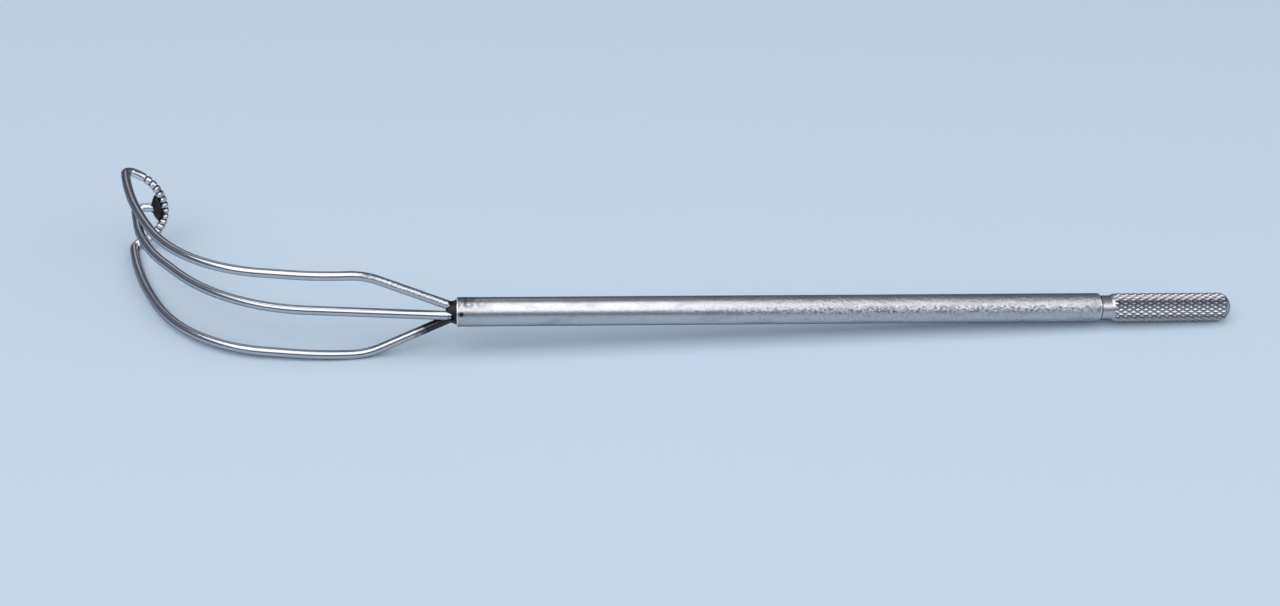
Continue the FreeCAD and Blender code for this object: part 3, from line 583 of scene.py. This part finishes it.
def polished_wire_material(finish):
    """Polished steel: burnt by the tube, most of all on the lower side wire, crusted beside the
    lip's filler, dull and mottled over the upper side wire's fan, filed bright at the lip with
    painted shade in its notches."""
    material, tree, shader = new_material("polished_wire")
    notch = new_node(tree, "ShaderNodeAttribute", attribute_name="notch")
    place = handle_coordinates(tree)
    split = new_node(tree, "ShaderNodeSeparateXYZ", inputs={0: place})
    reach, side, hook = split.outputs["X"], split.outputs["Y"], split.outputs["Z"]
    grain = new_node(tree, "ShaderNodeGroup", node_tree=steel_grain_group(),
                     inputs={"Vector": place, "Brush": (1800.0, 1800.0, 1800.0), "Pit Size": 1700.0,
                             "Pits": 0.2})
    lower = ramp(tree, side, 0.3 * MM, 1.0 * MM)
    clear_of_centre = combine(tree, "SUBTRACT", side, combine(tree, "MULTIPLY", reach, 0.16))
    upper = ramp(tree, clear_of_centre, -1.0 * MM, -0.3 * MM, 1.0, 0.0)
    ragged = stretched_noise(tree, place, (900.0, 900.0, 900.0))
    ragged_reach = combine(tree, "ADD", reach, ramp(tree, ragged, 0.2, 0.8, -1.5 * MM, 1.5 * MM))
    heat = combine(tree, "MULTIPLY", ramp(tree, ragged_reach, -9.5 * MM, -6.5 * MM), lower)
    film = ramp(tree, ragged_reach, -2.2 * MM, -1.5 * MM)
    burnt = combine(tree, "MAXIMUM", combine(tree, "MULTIPLY", heat, 0.93), film)
    lip = ramp(tree, hook, 43.9 * MM, 44.9 * MM)
    from_tip = combine(tree, "ADD", distance_from(tree, place, (-69.0, 0, 46.0), (1.0, 0.4, 0.6)),
                       ramp(tree, ragged, 0.2, 0.8, -0.5 * MM, 0.5 * MM))
    crust = ramp(tree, from_tip, 1.4 * MM, 1.65 * MM, 1.0, 0.0)
    lip_bow = distance_from(tree, place, (-77.95, 0, 0), (1.0, 1.0, 0.0))
    filed = combine(tree, "MULTIPLY", lip, ramp(tree, lip_bow, 10.15 * MM, 10.45 * MM, 1.0, 0.0))
    tint = blend_colour(tree, filed, finish.wire_colour, finish.lip_colour)
    tint = blend_colour(tree, combine(tree, "MAXIMUM", burnt, crust), tint, (0.022, 0.018, 0.022))
    # Painted shade: the lip's notches darken towards their bottoms
    painted_recess_shade = ramp(tree, notch.outputs["Fac"], 0.4, 0.85, 0.0, 0.95)
    tree.links.new(blend_colour(tree, painted_recess_shade, tint, (0.04, 0.035, 0.04)), shader.inputs["Base Color"])
    shader.inputs["Metallic"].default_value = 1.0
    shader.inputs["Specular Tint"].default_value = (*finish.edge_tint, 1)
    dull = combine(tree, "MULTIPLY", upper, ramp(tree, reach, -21.5 * MM, -19 * MM))
    rough = ramp(tree, grain.outputs["Brushing"], 0.35, 0.75, finish.wire_roughness - 0.03,
                 finish.wire_roughness + 0.05)
    for mask, added in ((dull, 0.06), (filed, 0.22), (burnt, 0.15)):
        rough = combine(tree, "ADD", rough, combine(tree, "MULTIPLY", mask, added))
    tree.links.new(rough, shader.inputs["Roughness"])
    mottle = stretched_noise(tree, place, (1500.0, 1500.0, 1500.0), detail=3.0)
    relief = combine(tree, "ADD", grain.outputs["Relief"],
                     combine(tree, "MULTIPLY", combine(tree, "MULTIPLY", dull, mottle), 90.0))
    add_bump(tree, shader, relief, 0.006 * MM, 0.3)
    return material


def knurled_steel_material(finish, handle):
    """Bright turned steel, with painted shade at the bottom of the knurl's grooves and in the crevice
    beside the tube's end.
    """
    material, tree, shader = new_material("knurled_steel")
    place = handle_coordinates(tree)
    reach = reach_along(tree, place)
    grain = new_node(tree, "ShaderNodeGroup", node_tree=steel_grain_group(),
                     inputs={"Vector": place, "Brush": (6000.0, 900.0, 900.0), "Pit Size": 2600.0,
                             "Pits": 0.3})
    surface = handle.grip_diameter / 2
    # Painted shade: the knurl darkens towards the bottom of its grooves
    painted_recess_shade = ramp(tree, distance_from(tree, place, (0, 0, 0), ACROSS), surface - handle.knurl_depth * 1.05,
                 surface - handle.knurl_depth * 0.45, 0.85, 0.0)
    start = TUBE_LENGTH + handle.neck_length + handle.neck_taper / 2
    end = TUBE_LENGTH + handle.neck_length + handle.neck_taper + handle.grip_length + 0.7 * MM
    grip = combine(tree, "MULTIPLY", ramp(tree, reach, start, start + 0.2 * MM),
                   ramp(tree, reach, end, end + 0.3 * MM, 1.0, 0.0))
    # Painted shade in the crevice between the tube's end and the plug's neck
    crevice = ramp(tree, reach, TUBE_LENGTH + 0.15 * MM, TUBE_LENGTH + 0.4 * MM, 0.95, 0.0)
    painted_recess_shade = combine(tree, "MAXIMUM", combine(tree, "MULTIPLY", painted_recess_shade, grip), crevice)
    tree.links.new(blend_colour(tree, painted_recess_shade, finish.grip_colour, (0.07, 0.07, 0.085)),
                   shader.inputs["Base Color"])
    shader.inputs["Metallic"].default_value = 1.0
    shader.inputs["Specular Tint"].default_value = (*finish.edge_tint, 1)
    rough = ramp(tree, grain.outputs["Brushing"], 0.3, 0.7, finish.grip_roughness - 0.05,
                 finish.grip_roughness + 0.1)
    tree.links.new(rough, shader.inputs["Roughness"])
    add_bump(tree, shader, grain.outputs["Relief"], 0.01 * MM, 0.4)
    return material


def dark_braze_material(finish):
    """Oxidised filler: near black, with browner and glossier patches."""
    material, tree, shader = new_material("dark_braze")
    source = new_node(tree, "ShaderNodeTexCoord")
    patches = stretched_noise(tree, source.outputs["Object"], (900.0, 900.0, 900.0))
    fine = stretched_noise(tree, source.outputs["Object"], (4200.0, 4200.0, 4200.0), detail=3.0)
    browner = ramp(tree, patches, 0.5, 0.75)
    tree.links.new(blend_colour(tree, browner, finish.braze_colour, (0.07, 0.045, 0.035)),
                   shader.inputs["Base Color"])
    shader.inputs["Metallic"].default_value = 0.6
    tree.links.new(ramp(tree, patches, 0.35, 0.65, finish.braze_roughness - 0.12,
                        finish.braze_roughness + 0.2), shader.inputs["Roughness"])
    add_bump(tree, shader, fine, 0.06 * MM, 0.6)
    return material


# Pieces

def make_tube(handle):
    """The tube, turned as one wall from the bore, round the mouth, along the outside and back."""
    outer, inner = handle.tube_diameter / 2, handle.tube_diameter / 2 - handle.tube_wall
    halfway = TUBE_LENGTH / 2
    piece = turn_profile("satin_tube", [
        (halfway, inner), (0, inner), (0, outer), (TUBE_LENGTH, outer), (TUBE_LENGTH, inner),
        (halfway, inner)], handle.sides)
    tidy_shell()
    bpy.ops.object.mode_set(mode="EDIT")
    round_rim(0, outer, handle.mouth_chamfer, 3)
    round_rim(0, inner, handle.mouth_chamfer, 2)
    round_rim(TUBE_LENGTH, outer, handle.rear_round, 6)
    tidy_shell()
    settle(piece, 60)
    return piece


def make_blank(handle):
    """The plug as it is turned from bar: spigot, neck, cone, plain grip and dome."""
    neck = handle.tube_diameter / 2 - handle.tube_wall - handle.spigot_clearance
    full = handle.grip_diameter / 2
    start = TUBE_LENGTH + handle.neck_length + handle.neck_taper
    end = start + handle.grip_length
    stations = [(TUBE_LENGTH - handle.spigot_length, neck), (TUBE_LENGTH + handle.neck_length, neck),
                (start, full), (end, full)]
    bow = (full ** 2 + handle.dome_height ** 2) / (2 * handle.dome_height)
    sweep = math.asin(full / bow)
    rings = 14
    for ring in range(1, rings):
        tilt = sweep * (1 - ring / rings)
        stations.append((end + handle.dome_height - bow * (1 - math.cos(tilt)), bow * math.sin(tilt)))
    return close_piece(turn_profile("knurled_plug", stations, handle.sides))


def make_knurl_mould(handle):
    """What the knurling leaves: a net of points, every second one drawn out and worn flat, so that
    straight grooves cross between them. Before and behind the grip it stands clear of the plug."""
    full = handle.grip_diameter / 2
    low = full - handle.knurl_drop - handle.knurl_depth
    start = TUBE_LENGTH + handle.neck_length
    step = handle.knurl_pitch / 2
    rows = math.ceil((handle.neck_taper + handle.grip_length + handle.dome_height) / step)
    sides = 2 * handle.knurl_starts
    clear = full * 1.3
    stations = [(start - handle.spigot_length * 2, clear), (start, clear)]
    stations += [(start + step * row, low) for row in range(rows + 1)]
    stations += [(start + step * rows, clear), (start + step * (rows + 2), clear)]
    piece = turn_profile("knurl_mould", stations, sides)
    close_ends()
    first, last = start - step / 2, start + step * (rows + 0.5)
    bpy.ops.mesh.select_all(action="DESELECT")
    mesh = bmesh.from_edit_mesh(piece.data)
    mesh.verts.ensure_lookup_table()
    for row in range(rows + 1):
        for place in range(sides):
            mesh.verts[(row + 2) * sides + place].select_set((row + place) % 2 == 1)
    bmesh.update_edit_mesh(piece.data)
    scale_ring(full / low, (0, 0, 0))
    select("FACE", lambda face: first < face.calc_center_median().x < last
           and off_axis(face.calc_center_median()) < full)
    bpy.ops.mesh.quads_convert_to_tris(quad_method="SHORTEST_DIAGONAL")
    select("VERT", lambda vert: start + step / 2 < vert.co.x < last - step
           and abs(off_axis(vert.co) - full) < handle.knurl_depth / 3)
    bpy.ops.mesh.bevel(offset=handle.knurl_flat, segments=1, affect="VERTICES")
    tidy_shell()
    return piece


def make_loop_wire(wires):
    """Bends one half of the loop, from the tube to the middle of the lip, and mirrors it."""
    radius = wires.diameter / 2
    down = Vector((-math.cos(wires.dip), 0, -math.sin(wires.dip)))
    start = Vector((wires.insertion, wires.pitch / 2, wires.lift + wires.insertion * math.tan(wires.dip)))
    bender = WireBender("loop_wire", start, down, radius, wires.sides)
    out = down.cross(Vector((0, 1, 0)))
    bender.run((wires.insertion - wires.mouth_bend_depth) / math.cos(wires.dip))
    bends = wires.mouth_bend_radius + wires.knee_radius
    fan_run = (wires.half_width - wires.pitch / 2 - bends * (1 - math.cos(wires.fan))) / math.sin(wires.fan)
    bender.bend(wires.mouth_bend_radius, wires.fan, out)
    bender.run(fan_run)
    bender.bend(wires.knee_radius, wires.fan, -out)
    hook_axis = Vector((0, 1, 0))
    bender.bend(wires.rise_radius, wires.dip + wires.rise, hook_axis)
    bender.run(wires.heel_lead)
    bender.bend(wires.heel_radius, wires.heel, hook_axis)
    bender.bend(wires.leg_radius, wires.leg, hook_axis)
    lip_heading = Vector((math.cos(wires.lip_entry), -math.sin(wires.lip_entry), 0))
    corner_turn = bender.heading.angle(lip_heading)
    bender.bend(wires.corner_radius, corner_turn, bender.heading.cross(lip_heading).normalized())
    bend_lip(bender, wires)
    mirror_loop(bender.piece)
    return close_piece(bender.piece)


def bend_lip(bender, wires):
    """The lip's half: plain wire from the corner, then notch after notch to the middle."""
    radius = bender.tip.y / math.cos(wires.lip_entry)
    whole = math.pi / 2 - wires.lip_entry
    tooth = wires.tooth_pitch / radius
    notches = int(wires.tooth_span / 2 / tooth)
    notch = wires.notch_width / radius
    down = Vector((0, 0, -1))
    waist = (bender.radius - wires.notch_depth) / bender.radius
    bender.bend(radius, whole - tooth * notches - notch / 2, down)
    for place in range(notches + 1):
        bender.bend(radius, notch / 2, down, depth=1.0, steps=1)
        bender.squeeze(waist, 1.0)
        if place == notches:
            break
        bender.bend(radius, notch / 2, down, steps=1)
        bender.squeeze(1 / waist, 0.0)
        bender.bend(radius, tooth - notch, down, steps=2)


def mirror_loop(piece):
    """Adds the other half of the loop and joins the two at the middle of the lip."""
    bpy.ops.object.mode_set(mode="OBJECT")
    add_modifier(piece, "MIRROR", use_axis=(False, True, False), use_mirror_merge=True,
                 merge_threshold=0.02 * MM)
    bpy.ops.object.mode_set(mode="EDIT")


def make_centre_wire(wires):
    """Bends the centre wire, from the tube to its end behind the lip."""
    start = Vector((wires.insertion, 0, -wires.centre_drop))
    bender = WireBender("middle_wire", start, Vector((-1, 0, 0)), wires.diameter / 2, wires.sides)
    hook_axis = Vector((0, 1, 0))
    bender.run(wires.insertion - wires.centre_bend_depth)
    bender.bend(wires.centre_bend_radius, wires.centre_rise, hook_axis)
    bender.run(wires.centre_lead)
    bender.bend(wires.centre_heel_radius, wires.centre_heel, hook_axis)
    bender.run(wires.centre_run)
    bender.bend(wires.centre_leg_radius, wires.centre_leg, hook_axis)
    bender.run(wires.centre_run)
    bender.bend(wires.corner_radius, bender.heading.angle(Vector((1, 0, 0))), hook_axis)
    bender.run(wires.stub)
    return close_piece(bender.piece)


def make_filler(node, name, voxel):
    """A filler bead: a copy of its solid, remeshed fine, swollen a little over its seats and
    smoothed until it flows."""
    fresh_start()
    source = frame["nodes"][node]
    piece = bpy.data.objects.new(name, source.data.copy())
    bpy.context.scene.collection.objects.link(piece)
    bpy.context.view_layer.objects.active = piece
    piece.select_set(True)
    bpy.ops.object.mode_set(mode="EDIT")
    tidy_shell()
    add_modifier(piece, "REMESH", mode="VOXEL", voxel_size=voxel)
    add_modifier(piece, "DISPLACE", strength=FILLER_SWELL, mid_level=0.0)
    add_modifier(piece, "SMOOTH", factor=0.5, iterations=3)
    return piece


# Operators

def report_done(operator, words):
    operator.report({"INFO"}, words)
    return {"FINISHED"}


class RETRACTOR_OT_handle_tube(bpy.types.Operator):
    """Turns the satin tube"""
    bl_idname = "retractor.handle_tube"
    bl_label = "Handle Tube"

    def execute(self, context):
        piece = make_tube(context.scene.retractor_handle)
        declare(piece, "handle_tube", satin_tube_material(context.scene.retractor_finish))
        return report_done(self, "tube turned")


class RETRACTOR_OT_knurled_plug(bpy.types.Operator):
    """Turns and knurls the plug at the handle's end"""
    bl_idname = "retractor.knurled_plug"
    bl_label = "Knurled Plug"

    def execute(self, context):
        handle = context.scene.retractor_handle
        blank = make_blank(handle)
        piece = keep_common(blank, make_knurl_mould(handle))
        settle(piece, 20)
        declare(piece, "knurled_grip",
                knurled_steel_material(context.scene.retractor_finish, handle))
        return report_done(self, "plug turned and knurled")


class RETRACTOR_OT_wires(bpy.types.Operator):
    """Bends the loop wire with its serrated lip, and the centre wire"""
    bl_idname = "retractor.wires"
    bl_label = "Wires"

    def execute(self, context):
        wires = context.scene.retractor_wires
        material = polished_wire_material(context.scene.retractor_finish)
        for make, node in ((make_loop_wire, "outer_loop_wire"), (make_centre_wire, "centre_wire")):
            piece = make(wires)
            settle(piece, 28)
            declare(piece, node, material)
        return report_done(self, "wires bent")


class RETRACTOR_OT_braze(bpy.types.Operator):
    """Runs the dark filler round the lip's middle and in the tube's mouth"""
    bl_idname = "retractor.braze"
    bl_label = "Brazing Filler"

    def execute(self, context):
        material = dark_braze_material(context.scene.retractor_finish)
        for node, name, voxel in FILLERS:
            piece = make_filler(node, name, voxel)
            bpy.ops.object.shade_smooth()
            declare(piece, node, material)
        return report_done(self, "filler run")


class RETRACTOR_OT_studio(bpy.types.Operator):
    """Lays the table, hangs the lamps and sets up the camera"""
    bl_idname = "retractor.studio"
    bl_label = "Studio"

    def execute(self, context):
        studio = context.scene.retractor_studio
        make_table(studio)
        light_room(context.scene, studio)
        place_camera(context.scene, studio)
        context.scene.view_settings.view_transform = "Standard"
        return report_done(self, "studio ready")


def make_table(studio):
    fresh_start()
    bpy.ops.mesh.primitive_plane_add(size=studio.floor_size, location=(0, 0, 0))
    table = bpy.context.object
    table.name = table.data.name = "table"
    material, tree, shader = new_material("table")
    shader.inputs["Base Color"].default_value = (*studio.floor_colour, 1)
    shader.inputs["Roughness"].default_value = 0.9
    shader.inputs["Specular IOR Level"].default_value = 0.1
    table.data.materials.append(material)


def add_lamp(name, place, aim, size, power):
    """A flat, soft lamp that looks at a point and isn't seen itself."""
    fresh_start()
    turn = (aim - place).to_track_quat("-Z", "Y").to_euler()
    bpy.ops.object.light_add(type="AREA", location=place, rotation=turn)
    lamp = bpy.context.object
    lamp.name = lamp.data.name = name
    lamp.data.shape = "RECTANGLE"
    lamp.data.size, lamp.data.size_y = size
    lamp.data.energy = power
    lamp.visible_camera = False


def light_room(scene, studio):
    """A very wide soft lamp overhead on the left, a lower one on the right, a faint one behind the
    blade, and a dim room whose ceiling is paler than its walls."""
    world = bpy.data.worlds.new("room")
    scene.world = world
    world.use_nodes = True
    tree = world.node_tree
    source = new_node(tree, "ShaderNodeTexCoord")
    height = new_node(tree, "ShaderNodeSeparateXYZ", inputs={0: source.outputs["Generated"]})
    shade = blend_colour(tree, ramp(tree, height.outputs["Z"], 0.0, 1.0), studio.room_colour,
                         studio.ceiling_colour)
    tree.links.new(shade, tree.nodes["Background"].inputs["Color"])
    add_lamp("key", Vector((-0.5, -0.42, 1.2)), Vector((-0.5, 0, 0)), (1.6, 1.85), studio.key_power)
    add_lamp("side", Vector((1.01, -0.54, 0.75)), Vector((0, 0, 0)), (1.6, 1.1), studio.side_power)
    add_lamp("back", Vector((-0.4, 1.3, 0.9)), Vector((-0.1, 0, 0)), (0.5, 0.5), studio.back_power)


def place_camera(scene, studio):
    data = bpy.data.cameras.new("camera")
    camera = bpy.data.objects.new("camera", data)
    scene.collection.objects.link(camera)
    data.sensor_width = 36
    data.lens = studio.lens
    data.clip_start = 0.01
    camera.location = studio.camera_place
    camera.rotation_euler = (math.pi / 2 - studio.camera_pitch, 0, studio.camera_swing)
    camera.rotation_euler.rotate_axis("Z", studio.camera_roll)
    scene.camera = camera


class RETRACTOR_PT_panel(bpy.types.Panel):
    """Lists the retractor's pieces and the studio"""
    bl_idname = "RETRACTOR_PT_panel"
    bl_label = "Retractor"
    bl_space_type = "VIEW_3D"
    bl_region_type = "UI"
    bl_category = "Retractor"

    def draw(self, context):
        for operator in OPERATORS:
            self.layout.operator(operator.bl_idname)
        for name in SETTINGS:
            group = getattr(context.scene, name)
            box = self.layout.box()
            for key in group.__annotations__:
                box.prop(group, key)


OPERATORS = (RETRACTOR_OT_handle_tube, RETRACTOR_OT_knurled_plug, RETRACTOR_OT_wires,
             RETRACTOR_OT_braze, RETRACTOR_OT_studio)
SETTINGS = {
    "retractor_wires": RetractorWires,
    "retractor_handle": RetractorHandle,
    "retractor_finish": RetractorFinish,
    "retractor_studio": RetractorStudio,
}


def register():
    for kind in (*SETTINGS.values(), *OPERATORS, RETRACTOR_PT_panel):
        bpy.utils.register_class(kind)
    for name, kind in SETTINGS.items():
        setattr(bpy.types.Scene, name, bpy.props.PointerProperty(type=kind))


def unregister():
    for name in SETTINGS:
        delattr(bpy.types.Scene, name)
    for kind in (RETRACTOR_PT_panel, *OPERATORS, *SETTINGS.values()):
        bpy.utils.unregister_class(kind)


def main():
    register()
    bpy.ops.retractor.handle_tube()
    bpy.ops.retractor.knurled_plug()
    bpy.ops.retractor.wires()
    bpy.ops.retractor.braze()
    bpy.ops.retractor.studio()


if __name__ == "__main__":
    main()
